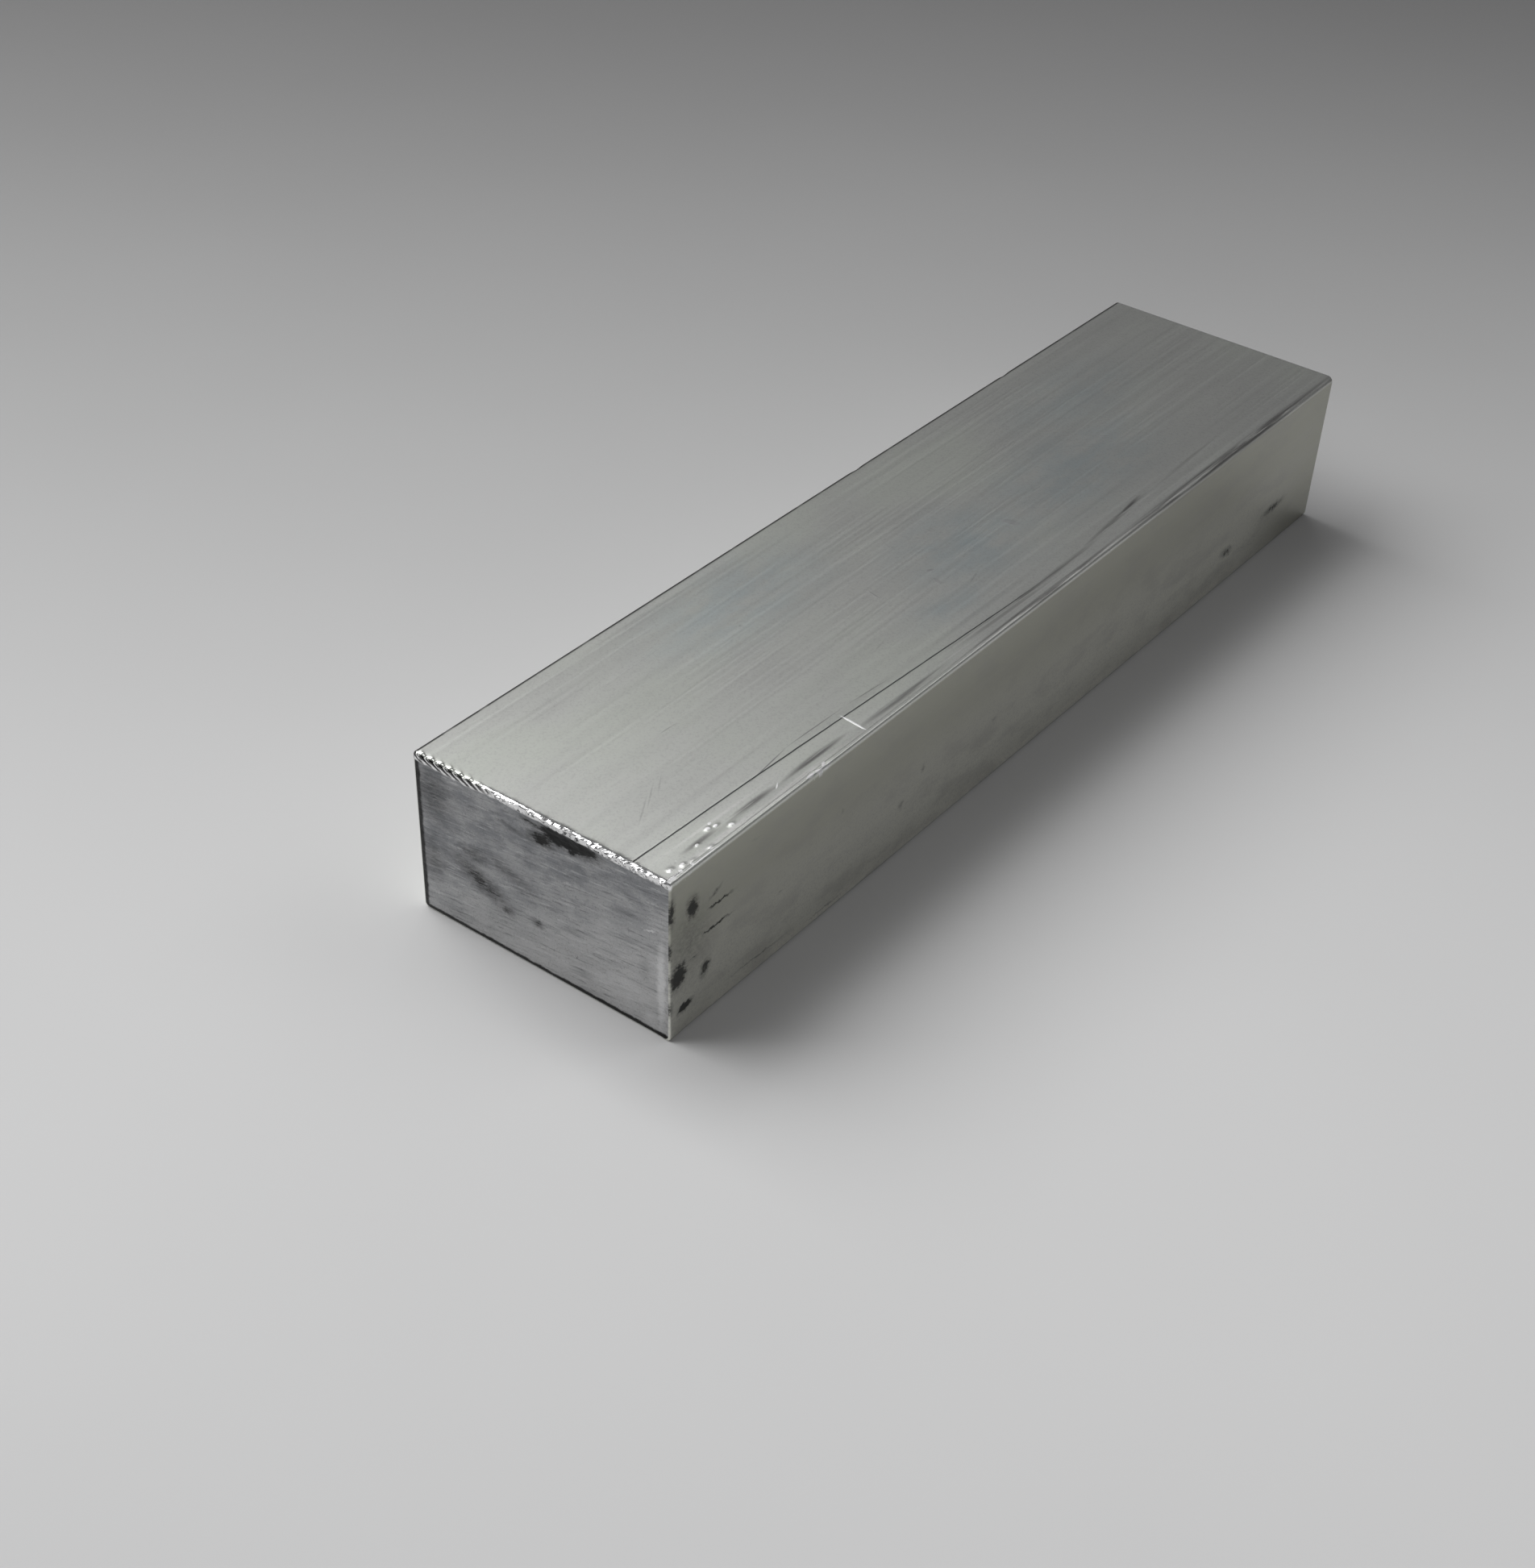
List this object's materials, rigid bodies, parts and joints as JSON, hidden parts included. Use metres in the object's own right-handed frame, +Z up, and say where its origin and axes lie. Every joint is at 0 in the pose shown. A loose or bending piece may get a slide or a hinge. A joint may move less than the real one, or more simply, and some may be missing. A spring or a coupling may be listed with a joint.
{
  "type": "aluminium flat bar",
  "caption": "Short solid rectangular bar of mill-finish aluminium, raw stock sawn off at both ends, for machining or as a spacer, packer or weight.",
  "frame": {"origin": "centre of the wide face that the bar lies on", "axes": "+X along the bar's length, from the end seen in front to the far end; +Y across its width; +Z up through its thickness"},
  "size_m": [0.1052, 0.0254, 0.0159],
  "materials": {
    "bar_aluminium": "extruded mill finish, satin, with fine long draw lines, scratches and grey handling marks; sawn ends"
  },
  "bodies": {
    "root": {"flat_bar": "bar_aluminium"}
  },
  "joints": []
}
